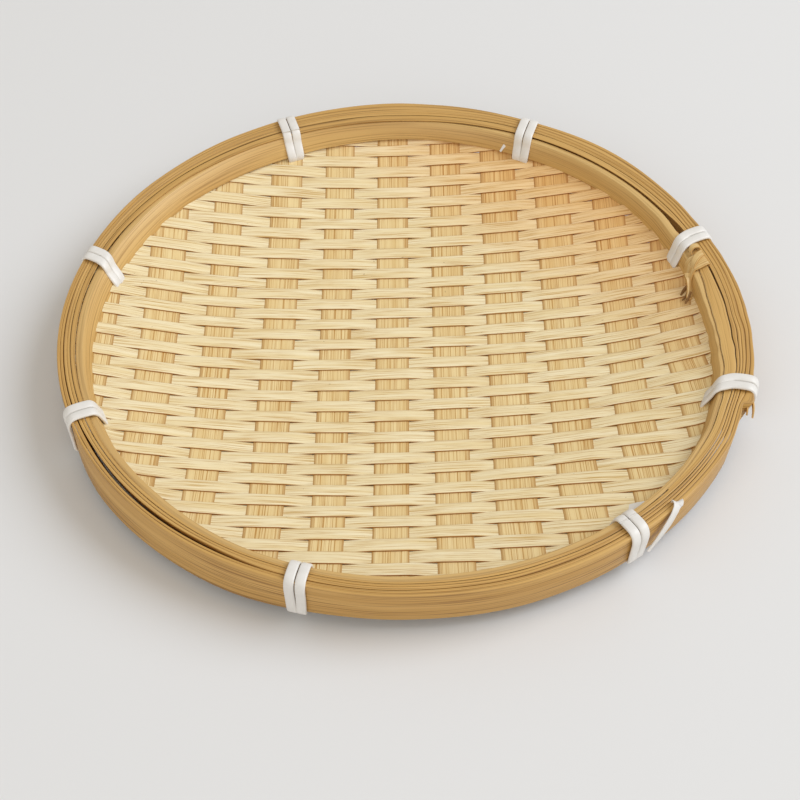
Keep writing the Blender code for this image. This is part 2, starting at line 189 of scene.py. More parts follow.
def split_bamboo(name, colours, fibre, tone, roughness, relief, speck_share, see_through, rim_shade_share):
    """Split bamboo: fine fibres along the strip over slow changes of tone, and cut edges of their own colour, which
    on the mat's strips is darker, partly the cut side's own tone and partly painted shade.

    colours are pale, dark, fibre line, cut edge and speck. fibre and tone are the length and width
    of one streak and of one patch, in metres. see_through is the share of light that passes, and
    golden how far painted shade with warm bounced light darkens and yellows the strip towards the
    tray's far right, where the right rim shades the mat."""
    pale, dark, line, edge, speck = [linear(colour) for colour in colours]
    bamboo = bpy.data.materials.new(name)
    bamboo.use_nodes = True
    shader = bamboo.node_tree.nodes["Principled BSDF"]
    shader.inputs["Roughness"].default_value = roughness
    along = add_node(bamboo, "ShaderNodeUVMap", {"uv_map": "along_strip"}, {}).outputs["UV"]
    fibre_place = add_node(bamboo, "ShaderNodeMapping", {}, {
        "Vector": along, "Scale": (1 / fibre[0], 1 / fibre[1], 1)})
    fibres = add_node(bamboo, "ShaderNodeTexNoise", {}, {
        "Vector": fibre_place.outputs["Vector"], "Scale": 1, "Detail": 3, "Roughness": 0.6})
    tone_place = add_node(bamboo, "ShaderNodeMapping", {}, {
        "Vector": along, "Scale": (1 / tone[0], 1 / tone[1], 1)})
    tones = add_node(bamboo, "ShaderNodeTexNoise", {}, {
        "Vector": tone_place.outputs["Vector"], "Scale": 1, "Detail": 2})
    speck_place = add_node(bamboo, "ShaderNodeMapping", {}, {
        "Vector": along, "Scale": (1 / (1.6 * mm), 1 / (0.8 * mm), 1)})
    specks = add_node(bamboo, "ShaderNodeTexNoise", {}, {
        "Vector": speck_place.outputs["Vector"], "Scale": 1, "Detail": 2})
    # The edge colour goes on the strips' sides and the rings' top edges. Where it is darker, on the mat's strips and
    # the lashing, it is partly the cut side's own tone and partly painted shade.
    edges = add_node(bamboo, "ShaderNodeAttribute", {"attribute_name": "cut_edge_and_shade"}, {})
    toned = add_node(bamboo, "ShaderNodeMapRange", {}, {
        "Value": tones.outputs["Fac"], "From Min": 0.32, "From Max": 0.68})
    lined = add_node(bamboo, "ShaderNodeMapRange", {}, {
        "Value": fibres.outputs["Fac"], "From Min": 0.5, "From Max": 0.64})
    specked = add_node(bamboo, "ShaderNodeMapRange", {}, {
        "Value": specks.outputs["Fac"], "From Min": 0.74, "From Max": 0.78, "To Max": speck_share})
    ground = add_node(bamboo, "ShaderNodeMix", {"data_type": "RGBA"}, {
        0: toned.outputs["Result"], 6: pale, 7: dark})
    grained = add_node(bamboo, "ShaderNodeMix", {"data_type": "RGBA"}, {
        0: lined.outputs["Result"], 6: ground.outputs[2], 7: line})
    edged_and_shaded = add_node(bamboo, "ShaderNodeMix", {"data_type": "RGBA"}, {
        0: edges.outputs["Fac"], 6: grained.outputs[2], 7: edge})
    coloured = add_node(bamboo, "ShaderNodeMix", {"data_type": "RGBA"}, {
        0: specked.outputs["Result"], 6: edged_and_shaded.outputs[2], 7: speck})
    # Painted shade with warm bounced light: the strip turns darker and more golden towards the tray's far right,
    # where the right rim keeps the lamp off the mat.
    place = add_node(bamboo, "ShaderNodeTexCoord", {}, {}).outputs["Object"]
    toward = add_node(bamboo, "ShaderNodeVectorMath", {"operation": "DOT_PRODUCT"}, {0: place, 1: RIM_SHADE_SIDE})
    share = add_node(bamboo, "ShaderNodeMapRange", {}, {
        "Value": toward.outputs["Value"], "From Min": 38 * mm, "From Max": 88 * mm, "To Max": rim_shade_share})
    shaded_by_rim = add_node(bamboo, "ShaderNodeMix", {"data_type": "RGBA", "blend_type": "MULTIPLY"}, {
        0: share.outputs["Result"], 6: coloured.outputs[2], 7: linear(RIM_SHADE_COLOUR)})
    bamboo.node_tree.links.new(shaded_by_rim.outputs[2], shader.inputs["Base Color"])
    bump = add_node(bamboo, "ShaderNodeBump", {}, {
        "Height": fibres.outputs["Fac"], "Distance": relief, "Strength": 0.7})
    bamboo.node_tree.links.new(bump.outputs["Normal"], shader.inputs["Normal"])
    glow = add_node(bamboo, "ShaderNodeBsdfTranslucent", {}, {"Color": linear(GLOW_COLOUR)})
    thin = add_node(bamboo, "ShaderNodeMixShader", {}, {
        0: see_through, 1: shader.outputs["BSDF"], 2: glow.outputs["BSDF"]})
    bamboo.node_tree.links.new(thin.outputs["Shader"], bamboo.node_tree.nodes["Material Output"].inputs["Surface"])
    return bamboo


def edges_along(strip, axis):
    """The edges of a flat strip that run along one of its axes."""
    return [
        edge for edge in strip.edges
        if abs(edge.verts[0].co[axis] - edge.verts[1].co[axis]) > 0.99 * edge.calc_length()
    ]


def flat_strip(length, width, thickness, rounding, stations, columns):
    """A flat strip along X with rounded long edges, divided along and across so that it can bend."""
    strip = bmesh.new()
    bmesh.ops.create_cube(strip, size=1)
    bmesh.ops.scale(strip, vec=(length, width, thickness), verts=strip.verts)
    bmesh.ops.bevel(
        strip, geom=edges_along(strip, 0), offset=rounding, offset_type="OFFSET", affect="EDGES",
        segments=2, profile=0.5, material=-1)
    bmesh.ops.subdivide_edges(strip, edges=edges_along(strip, 0), cuts=stations, use_grid_fill=True)
    bmesh.ops.subdivide_edges(strip, edges=edges_along(strip, 1), cuts=columns, use_grid_fill=True)
    return strip


def mark_strip(strip, width, number):
    """Lay the strip's own coordinates down before it bends, so that its grain follows it."""
    uv = strip.loops.layers.uv.new("along_strip")
    cut_edge_and_shade = strip.verts.layers.float.new("cut_edge_and_shade")
    for face in strip.faces:
        for loop in face.loops:
            place = loop.vert.co
            loop[uv].uv = (place.x + UV_STEP * number, place.y + UV_STEP * number)
    # The strip's sides take the edge colour, which on the mat's strips is partly painted shade.
    for vertex in strip.verts:
        vertex[cut_edge_and_shade] = float(abs(vertex.co.y) > width / 2 - EDGE_ROUNDING / 2)


def add_piece(name, strip, material, *nodes):
    """Make a finished mesh a piece of the tray that stands for CAD nodes."""
    bmesh.ops.recalc_face_normals(strip, faces=strip.faces)
    for face in strip.faces:
        face.smooth = True
    mesh = bpy.data.meshes.new(name)
    strip.to_mesh(mesh)
    strip.free()
    mesh.set_sharp_from_angle(angle=math.radians(50))
    mesh.materials.append(material)
    piece = bpy.data.objects.new(name, mesh)
    bpy.context.scene.collection.objects.link(piece)
    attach(piece, "root")
    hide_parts(*nodes)
    return piece


warp_finish = split_bamboo(
    # The fourth colour, for the sides, is partly the cut side's own tone and partly painted shade.
    "split_bamboo_inner_layer", ("#F5DDA4", "#EACB8C", "#C08C42", "#B98A4A", "#7A4E22"),
    fibre=(40 * mm, 0.27 * mm), tone=(40 * mm, 2.6 * mm), roughness=0.5, relief=0.05 * mm,
    # Painted shade with warm bounced light darkens and yellows the warps towards the tray's far right.
    speck_share=0.5, see_through=0.03, rim_shade_share=0.65)

half_warps = len(WARP_WIDTHS) // 2
warp_places = [
    (index - half_warps) * WARP_PITCH + WARP_SHIFT + offset * mm for index, offset in enumerate(WARP_OFFSETS)]
for number, (place, width) in enumerate(zip(warp_places, WARP_WIDTHS), start=1):
    warp = flat_strip(
        2, width * mm, WARP_THICKNESS, WARP_ROUNDING, round(2 * mat_reach / WARP_STATION), WARP_COLUMNS)
    half_length = math.sqrt(mat_reach ** 2 - place ** 2)
    for vertex in warp.verts:
        vertex.co.x *= half_length
    mark_strip(warp, width * mm, number)
    for vertex in warp.verts:
        x = place - vertex.co.y
        y = vertex.co.x / half_length * math.sqrt(mat_reach ** 2 - x ** 2) - (WARP_TURN + WEFT_TURN) * x
        vertex.co = mat_point(x, y, vertex.co.z)
    piece = add_piece(f"warp_strip_{number:02d}", warp, warp_finish, f"warp_{number:02d}")


# Wefts
# Forty-three narrow strips cross the warps, over one and under the next. They are split thin from
# the pale core of the culm, so they bend round each warp and show a soft silky grain.

WEFT_ROWS = 43
WEFT_WIDTH = 3.8 * mm
WEFT_STATION = 0.6 * mm
WEFT_COLUMNS = 3
WEFT_CROWN = 0.07 * mm
BEND_ROUNDING = 0.25
WEFT_WANDER = 0.06 * mm
NEAR_ROWS = 5
FAR_ROWS = 39

weft_finish = split_bamboo(
    # The fourth colour, for the sides, is partly the cut side's own tone and partly painted shade.
    "split_bamboo_pale_core", ("#FBEDC6", "#F2DDAA", "#CDA560", "#A8702F", "#6E4A26"),
    fibre=(16 * mm, 0.26 * mm), tone=(30 * mm, 1.5 * mm), roughness=0.38, relief=0.035 * mm,
    # Painted shade with warm bounced light darkens and yellows the wefts towards the tray's far right.
    speck_share=0.7, see_through=0.03, rim_shade_share=0.65)


# The wefts go on past the last warps as if one more stood there on each side.
placed = [warp_places[0] - WARP_PITCH, *warp_places, warp_places[-1] + WARP_PITCH]
spreads = [WARP_WIDTHS[0], *WARP_WIDTHS, WARP_WIDTHS[-1]]


def weave_lift(row, x):
    """Height of a weft off the mat's middle: level over or under a warp, and sloping between them."""
    index = min(max(bisect(placed, x) - 1, 0), len(placed) - 2)
    left_half, right_half = [spread * mm / 2 for spread in spreads[index:index + 2]]
    slope_length = placed[index + 1] - placed[index] - left_half - right_half
    from_left = x - placed[index] - left_half
    share = 1 - 2 * from_left / slope_length
    inner = 1 - BEND_ROUNDING
    outer = 1 + BEND_ROUNDING
    if abs(share) >= outer:
        bent = math.copysign(1, share)
    elif abs(share) > inner:
        bent = math.copysign(1 - (outer - abs(share)) ** 2 / (4 * BEND_ROUNDING), share)
    else:
        bent = share
    return WEAVE_LIFT * bent * (1 if (index + row) % 2 == 0 else -1)


half_wefts = WEFT_ROWS // 2
for row in range(-half_wefts, half_wefts + 1):
    number = row + half_wefts + 1
    place = row * WEFT_PITCH + WEFT_SHIFT
    half_length = math.sqrt(mat_reach ** 2 - place ** 2)
    weft = flat_strip(
        2, WEFT_WIDTH, WEFT_THICKNESS, EDGE_ROUNDING, round(2 * half_length / WEFT_STATION), WEFT_COLUMNS)
    for vertex in weft.verts:
        vertex.co.x *= half_length
    mark_strip(weft, WEFT_WIDTH, number + len(WARP_WIDTHS))
    for vertex in weft.verts:
        across = vertex.co.y + WEFT_WANDER * noise.noise(Vector((vertex.co.x / (22 * mm), number * 5.3, 0)))
        y = place + across
        x = vertex.co.x / half_length * math.sqrt(mat_reach ** 2 - y ** 2) - (WARP_TURN + WEFT_TURN) * y
        crown = WEFT_CROWN * (1 - (2 * vertex.co.y / WEFT_WIDTH) ** 2)
        vertex.co = mat_point(x, y, weave_lift(row, x) + vertex.co.z + crown)
    if number <= NEAR_ROWS:
        stood_for = "near_edge_wefts"
    elif number >= FAR_ROWS:
        stood_for = "far_edge_wefts"
    else:
        stood_for = f"weft_{number:02d}"
    piece = add_piece(f"weft_strip_{number:02d}", weft, weft_finish, stood_for)


# Rim strips
# Bands of split bamboo are bent into rings and stacked on edge round the mat: the hoop inside it,
# thin bands on its cut edge, and the broad hoop outside. They keep the hard skin side of the culm.

RING_STEPS = 720
RING_ROUNDING = 0.16 * mm
RING_THICKNESS = 0.9 * mm
RING_GAP = 0.05 * mm
FOOT_TAPER = 0.4
LAP_AZIMUTH = math.radians(341)
RING_WANDER = 0.1 * mm

# Azimuth in degrees, then in millimetres how far from the middle the bands meet: the rim's outer
# edge, and the inner top edge of each band from the outside in.
RIM_EDGE = [
    (0, 90.1), (4, 89.85), (13, 89.2), (18, 88.9), (24, 88.7), (30, 89.05), (50, 90.2), (64, 89.9), (82, 90.6),
    (90, 90.9), (110, 90.5), (120, 90.2), (140, 89.5), (160, 88.8), (180, 88.8), (225, 89.1), (246, 89.3),
    (270, 90.1), (290, 91.0), (304, 91.3), (320, 91.7), (330, 91.8), (335, 91.2), (338.4, 90.6), (339.2, 93.1),
    (341.7, 92.2), (346, 91.3), (354, 90.6),
]
OUTER_HOOP_EDGE = [
    (0, 89.3), (9, 88.8), (18, 88.2), (23, 87.9), (30, 88.3), (50, 89.2), (64, 89.0), (90, 89.5), (120, 89.2),
    (140, 88.6), (160, 88.0), (180, 88.0), (222, 88.4), (246, 88.5), (270, 89.2), (290, 90.1), (304, 90.4),
    (330, 90.7), (338, 89.8), (341, 90.4), (346, 90.3), (354, 89.8),
]
OUTER_COVER_EDGE = [
    (0, 87.9), (9, 87.7), (18, 87.5), (23, 87.0), (30, 87.5), (62, 87.9), (90, 87.9), (120, 88.1), (140, 87.6),
    (160, 87.3), (203, 87.3), (222, 87.7), (246, 87.8), (270, 88.4), (290, 89.2), (304, 89.5), (330, 89.7),
    (338, 89.0), (346, 89.2), (354, 88.8),
]
INNER_COVER_OUTER_EDGE = [
    (0, 87.8), (18, 87.4), (23, 86.9), (30, 87.4), (62, 87.8), (90, 87.8), (120, 88.0), (160, 87.2), (203, 87.0),
    (212, 86.8), (236, 86.9), (250, 87.7), (270, 88.3), (290, 89.1), (304, 89.4), (330, 89.6), (338, 88.9),
    (346, 89.1), (354, 88.7),
]
INNER_COVER_EDGE = [
    (0, 86.9), (9, 86.8), (18, 86.4), (23, 86.0), (30, 86.4), (62, 86.8), (90, 86.5), (120, 87.0), (140, 86.8),
    (160, 86.5), (203, 86.2), (222, 86.0), (246, 86.4), (270, 87.4), (290, 88.2), (304, 88.6), (330, 89.0),
    (338, 88.3), (346, 88.4), (354, 87.8),
]
CORE_MIDDLE = [
    (0, 86.0), (9, 85.7), (18, 85.3), (23, 85.1), (30, 85.2), (62, 85.7), (90, 85.3), (120, 85.3), (140, 85.6),
    (160, 85.7), (203, 85.4), (222, 85.2), (246, 85.7), (270, 86.6), (290, 87.4), (304, 87.9), (330, 88.4),
    (338, 87.7), (346, 87.7), (354, 86.8),
]
CORE_EDGE = [
    (0, 85.0), (9, 84.5), (18, 84.0), (23, 83.9), (30, 83.3), (62, 83.3), (75, 82.9), (90, 82.5), (110, 82.5),
    (120, 82.7), (140, 83.5), (160, 84.1), (180, 84.1), (203, 84.1), (222, 84.3), (246, 85.1), (270, 85.9),
    (290, 86.4), (304, 86.7), (318, 86.9), (330, 87.5), (338, 87.0), (346, 87.0), (350, 86.4), (354, 85.5),
]
HOOP_EDGE = [
    (0, 80.0), (4, 79.6), (11, 79.7), (22, 80.3), (30, 81.0), (40, 81.4), (62, 81.8), (75, 82.3), (90, 82.9),
    (120, 83.0), (135, 82.7), (160, 82.4), (203, 82.3), (222, 82.3), (246, 83.5), (270, 84.0), (290, 84.6),
    (304, 85.0), (320, 85.1), (330, 84.8), (338, 84.0), (344, 83.2), (350, 82.0), (354, 81.1),
]
HOOP_FOOT = [
    (0, 1.8), (30, 2.5), (72, 2.7), (90, 2.8), (103, 3.4), (120, 4.2), (140, 3.6), (172, 3.7), (187, 3.0),
    (203, 1.8), (215, 1.3), (246, 1.6), (270, 1.8), (320, 1.6), (346, 2.6),
]
OUTER_FOOT = [
    (0, 1.1), (190, 1.1), (215, -0.6), (240, -0.6), (262, 0.7), (335, 0.9), (338.4, 0.9), (339.2, 3.2), (341.7, 2.3),
    (346, 1.2),
]
OUTER_HEIGHT = [(0, 9.5), (185, 9.5), (212, 10.9), (245, 10.9), (270, 10.2), (310, 10.0), (340, 9.5)]
OUTER_COVER_FOOT = [(0, 1.1), (190, 1.1), (210, 2.1), (240, 2.1), (256, 1.1)]


def inside(readings):
    """The outer edge of the band that lies next to the one whose inner edge is given."""
    return [(degrees, radius - RING_GAP / mm) for degrees, radius in readings]


def ring(name, number, outer, inner, foot, height, drop, material):
    """A band on edge, bent into a ring between its two edges, whose foot stands in from its top."""
    top = rim_top - drop
    full = height[0][1] * mm
    section = [(0, 0), (-RING_THICKNESS, 0), (-RING_THICKNESS, -full), (0, -full)]
    band = bmesh.new()
    corners = [band.verts.new((rim_radius + out, 0, top + up)) for out, up in section]
    band.faces.new(corners)
    bmesh.ops.bevel(
        band, geom=band.verts, offset=RING_ROUNDING, offset_type="OFFSET", affect="VERTICES",
        segments=2, profile=0.5, material=-1)
    outline = list(band.verts) + list(band.edges)
    bmesh.ops.delete(band, geom=band.faces, context="FACES_ONLY")
    bmesh.ops.spin(
        band, geom=outline, cent=(0, 0, 0), axis=(0, 0, 1), angle=math.tau,
        steps=RING_STEPS, use_merge=True, use_duplicate=False)
    bmesh.ops.remove_doubles(band, verts=band.verts, dist=0.001 * mm)
    bmesh.ops.recalc_face_normals(band, faces=band.faces)
    uv = band.loops.layers.uv.new("along_strip")
    cut_edge_and_shade = band.verts.layers.float.new("cut_edge_and_shade")
    for face in band.faces:
        middle = face.calc_center_median()
        face_turn = (math.atan2(middle.y, middle.x) - LAP_AZIMUTH) % math.tau
        for loop in face.loops:
            place = loop.vert.co
            turn = (math.atan2(place.y, place.x) - LAP_AZIMUTH) % math.tau
            if turn - face_turn > math.pi:
                turn -= math.tau
            elif face_turn - turn > math.pi:
                turn += math.tau
            out = math.hypot(place.x, place.y)
            loop[uv].uv = (turn * rim_radius + UV_STEP * number, out + place.z + UV_STEP * number)
    for vertex in band.verts:
        azimuth = math.atan2(vertex.co.y, vertex.co.x)
        depth = (top - vertex.co.z) / full
        share = (math.hypot(vertex.co.x, vertex.co.y) - rim_radius) / RING_THICKNESS + 0.5
        share *= 1 - FOOT_TAPER * depth
        wander = noise.noise(Vector((math.cos(azimuth) * 5, math.sin(azimuth) * 5, number * 7.7)))
        outer_radius, inner_radius = reading_at(outer, azimuth), reading_at(inner, azimuth)
        radius = (outer_radius + inner_radius) / 2 + share * (outer_radius - inner_radius)
        radius += (RING_WANDER * wander - reading_at(foot, azimuth)) * depth
        vertex[cut_edge_and_shade] = 0.3 * max(0, 1 - depth * full / (0.3 * mm))
        vertex.co.x = radius * math.cos(azimuth)
        vertex.co.y = radius * math.sin(azimuth)
        vertex.co.z = top - depth * reading_at(height, azimuth) + RING_WANDER * wander
    return add_piece(f"{name}_band_{number}", band, material, name)


hoop_finish = split_bamboo(
    "split_bamboo_skin_side", ("#D6AA62", "#C4954C", "#93662E", "#D8AF6A", "#7A4E22"),
    fibre=(45 * mm, 0.35 * mm), tone=(90 * mm, 2.2 * mm), roughness=0.45, relief=0.03 * mm,
    speck_share=0, see_through=0.03, rim_shade_share=0)
inner_hoop_finish = split_bamboo(
    "split_bamboo_scraped_skin", ("#DDB56F", "#CDA15B", "#B08544", "#DFC28A", "#7A4E22"),
    fibre=(45 * mm, 0.3 * mm), tone=(90 * mm, 3.0 * mm), roughness=0.45, relief=0.02 * mm,
    speck_share=0, see_through=0.03, rim_shade_share=0)

bands = [
    ring("outer_hoop", 1, RIM_EDGE, OUTER_HOOP_EDGE, OUTER_FOOT, OUTER_HEIGHT, 0, hoop_finish),
    ring("outer_cover_strip", 2, inside(OUTER_HOOP_EDGE), OUTER_COVER_EDGE, OUTER_COVER_FOOT, [(0, 6.2)],
         0.1 * mm, hoop_finish),
    ring("inner_cover_strip", 3, INNER_COVER_OUTER_EDGE, INNER_COVER_EDGE, [(0, 1.4)], [(0, 5.6)], 0.05 * mm,
         hoop_finish),
    ring("core_strip", 4, inside(INNER_COVER_EDGE), CORE_MIDDLE, [(0, 0)], [(0, 0.5)], 0.1 * mm, hoop_finish),
    ring("core_strip", 5, inside(CORE_MIDDLE), CORE_EDGE, [(0, 0)], [(0, 0.45)], 0.05 * mm, hoop_finish),
    ring("inner_hoop", 6, HOOP_READINGS, HOOP_EDGE, HOOP_FOOT, [(0, 4.6)], HOOP_DROP, inner_hoop_finish),
]

# The inner hoop's outer end lies over its other end, from the right front to the lashing.
LAP_START = math.radians(316)
LAP_END = math.radians(377)
LAP_WIDTH = 3 * mm
LAP_HEIGHT = 2.2 * mm
LAP_DROP = 0.25 * mm
LAP_OUTER = [(0, 84.8), (9, 84.2), (17, 83.8), (316, 87.3), (330, 87.7), (338, 86.9), (346, 86.9), (350, 86.2), (354, 85.3)]
LAP_INNER = [(0, 81.1), (4, 80.9), (9, 81.4), (17, 82.3), (316, 86.6), (330, 86.1), (338, 85.4), (345, 84.1), (352, 82.5), (356, 81.7)]

lap_length = (LAP_END - LAP_START) * rim_radius
lap = flat_strip(lap_length, LAP_WIDTH, LAP_HEIGHT, EDGE_ROUNDING, 90, 3)
mark_strip(lap, LAP_WIDTH, 70)
for vertex in lap.verts:
    azimuth = LAP_START + (vertex.co.x / lap_length + 0.5) * (LAP_END - LAP_START)
    outer_radius, inner_radius = reading_at(LAP_OUTER, azimuth), reading_at(LAP_INNER, azimuth)
    radius = inner_radius + (vertex.co.y / LAP_WIDTH + 0.5) * (outer_radius - inner_radius)
    height = rim_top - LAP_DROP - LAP_HEIGHT / 2 + vertex.co.z
    vertex.co = (radius * math.cos(azimuth), radius * math.sin(azimuth), height)
bands.append(add_piece("inner_hoop_lapped_end", lap, inner_hoop_finish, "inner_hoop"))


# Broken end
# The outer hoop's outer end has torn off short beside a tie, and ragged fibres hang from it.
BROKEN_STRIPS = [
    ([(339.8, 92.7, 1.6), (339.0, 93.2, 2.2), (338.5, 93.4, 4.4)], 1.6, 0.4),
    ([(339.4, 91.5, 1.8), (338.7, 91.8, 2.6), (338.4, 91.9, 3.8)], 1.4, 0.4),
]


def laid_strip(points, across, width, thickness, rounding, tip, stations):
    """A strip laid along (azimuth in degrees, radius, depth under the rim's top) points in mm.

    across says which way its width runs there: outwards, anticlockwise and up. tip is the share of
    its width that it keeps at its last point."""
    path = []
    sides = []
    for degrees, radius, depth in points:
        outward = Vector((math.cos(math.radians(degrees)), math.sin(math.radians(degrees)), 0))
        sideways = Vector((-outward.y, outward.x, 0))
        path.append(outward * radius * mm + Vector((0, 0, rim_top - depth * mm)))
        sides.append(outward * across[0] + sideways * across[1] + Vector((0, 0, across[2])))
    for repeat in range(2):
        cut = [path[0]]
        cut_sides = [sides[0]]
        for index in range(len(path) - 1):
            for share in (0.25, 0.75):
                cut.append(path[index].lerp(path[index + 1], share))
                cut_sides.append(sides[index].lerp(sides[index + 1], share))
        path = cut + [path[-1]]
        sides = cut_sides + [sides[-1]]
    length = sum((finish - start).length for start, finish in zip(path, path[1:]))
    strip = flat_strip(length, width, thickness, rounding, stations, 1)
    mark_strip(strip, width, len(points) * 7)
    for vertex in strip.verts:
        left = (vertex.co.x / length + 0.5) * length
        index = 0
        while index < len(path) - 2 and left > (path[index + 1] - path[index]).length:
            left -= (path[index + 1] - path[index]).length
            index += 1
        step = path[index + 1] - path[index]
        along = step.normalized()
        side = sides[index].lerp(sides[index + 1], min(1, left / step.length))
        side = (side - along * side.dot(along)).normalized()
        narrowed = 1 - (1 - tip) * max(0, 2 * vertex.co.x / length)
        vertex.co = path[index] + along * left + side * vertex.co.y * narrowed + along.cross(side) * vertex.co.z
    return strip


for number, (points, width, thickness) in enumerate(BROKEN_STRIPS, start=1):
    torn = laid_strip(points, (0, 0, 1), width * mm, thickness * mm, EDGE_ROUNDING, 0.4, 16)
    piece = add_piece(f"outer_hoop_torn_end_{number}", torn, hoop_finish, "outer_hoop")


# Tape ties
# Eight ties of narrow white plastic tape hold the hoops to the mat. Each goes twice round the rim,
# through the mat beside the inner hoop, and is pulled flat and tight.

TIE_AZIMUTHS = [19.6, 63.5, 111.4, 162.4, 201.3, 253.3, 306.7, 342.5]
TIE_SLANTS = [0.05, 0.14, -0.1, -0.2, 0.05, 0.05, -0.1, 0.05]
# How far each tie's inner part leans to one side for each millimetre that it goes inwards.
TIE_SWEEPS = [0.3, 0, 0, -0.25, 0, 0, 0, 0.5]
TAPE_WIDTH = 2.5 * mm
TAPE_THICKNESS = 0.8 * mm
TAPE_GAP = 0.22 * mm
TAPE_ROUNDING = 0.36 * mm
TAPE_PINCH = 0.75
TAPE_STATIONS = 70

tape_finish = bpy.data.materials.new("gloss_white_plastic_tape")
tape_finish.use_nodes = True
tape_shader = tape_finish.node_tree.nodes["Principled BSDF"]
tape_shader.inputs["Roughness"].default_value = 0.4
tape_place = add_node(tape_finish, "ShaderNodeTexCoord", {}, {}).outputs["Object"]
tape_cloud = add_node(tape_finish, "ShaderNodeTexNoise", {}, {
    "Vector": tape_place, "Scale": 1 / (3 * mm), "Detail": 2})
tape_colour = add_node(tape_finish, "ShaderNodeMix", {"data_type": "RGBA"}, {
    0: tape_cloud.outputs["Fac"], 6: linear("#F2EFEA"), 7: linear("#DFDBD5")})
tape_finish.node_tree.links.new(tape_colour.outputs[2], tape_shader.inputs["Base Color"])


for number, (degrees, slant, sweep) in enumerate(zip(TIE_AZIMUTHS, TIE_SLANTS, TIE_SWEEPS), start=1):
    azimuth = math.radians(degrees)
    half = TAPE_THICKNESS / 2
    outer = reading_at(RIM_EDGE, azimuth) + half
    band_foot = outer - reading_at(OUTER_FOOT, azimuth)
    band_height = reading_at(OUTER_HEIGHT, azimuth)
    core = reading_at(CORE_EDGE, azimuth)
    inner = reading_at(HOOP_EDGE, azimuth) - half
    foot = inner - reading_at(HOOP_FOOT, azimuth)
    under = ((band_foot + foot) / 2, band_height + 0.4 * mm)
    # Radius and depth under the rim's top, once round from under the mat, and the turns' spread.
    wound = [
        (*under, TAPE_PINCH), (band_foot, band_height + half, TAPE_PINCH),
        (band_foot + 0.1 * mm, band_height - 1.2 * mm, 0.9), (outer, 4.2 * mm, 1), (outer + 0.35 * mm, 1.6 * mm, 1),
        (outer - 0.4 * mm, -0.4 * mm, 1), (outer - 2 * mm, -0.85 * mm, 1), (core, -0.65 * mm, 1),
        (inner + 2.6 * mm, -0.65 * mm, 1), (inner + 0.9 * mm, -0.5 * mm, 1), (inner - 0.2 * mm, 0.7 * mm, 1),
        (inner - 0.7 * mm, 2.2 * mm, 0.95), (foot, 4.8 * mm, 0.9), (foot, 6.8 * mm, 0.7), (*under, TAPE_PINCH)]
    for turn, side in (("first", -1), ("second", 1)):
        points = []
        for radius, depth, spread in wound:
            aside = side * spread * (TAPE_WIDTH + TAPE_GAP) / 2 + slant * (radius - core)
            aside += sweep * min(0, radius - core)
            points.append((degrees + math.degrees(aside / radius), radius / mm, depth / mm))
        band = laid_strip(points, (0, 1, 0), TAPE_WIDTH, TAPE_THICKNESS, TAPE_ROUNDING, 1, TAPE_STATIONS)
        piece = add_piece(f"tie_tape_{number:02d}_{turn}_turn", band, tape_finish, f"tie_{number:02d}")


# Loose ends of the ties
# The tape is cut with short ends left over. One is tucked between the hoops and one lies inside.

LOOSE_THICKNESS = 0.3 * mm


tape_ends = [
    ("tie_07", [(310.0, 82.5, 3.3), (310.5, 83.3, 2.8), (311.0, 84.2, 2.0), (311.6, 85.0, 1.2)], (1, -1, 0.3),
     2.4 * mm, 0.5),
    ("tie_07", [(315.2, 90.4, 1.0), (314.6, 91.0, -0.6), (313.6, 92.2, -0.3), (312.0, 92.4, 2.6), (310.0, 92.2, 6),
                (308.3, 92.0, 8.6)], (0, 1, -0.6), 3.0 * mm, 0.35),
    ("tie_02", [(66, 82.6, 1.6), (67, 80.6, 3.4), (67.6, 79.4, 5)], (0, 1, 0.2), 1.0 * mm, 0.6),
]
for number, (node, points, across, width, tip) in enumerate(tape_ends, start=1):
    loose = laid_strip(points, across, width, LOOSE_THICKNESS, EDGE_ROUNDING, tip, 30)
    piece = add_piece(f"tape_loose_end_{number}", loose, tape_finish, node)


# Lashing
# One split-bamboo strip is folded over the inner hoop's lapped end on the right. Its tail goes down
# inside the rim and is left frayed, and its head is curled over beside the tie.

LASHING_THICKNESS = 0.4 * mm

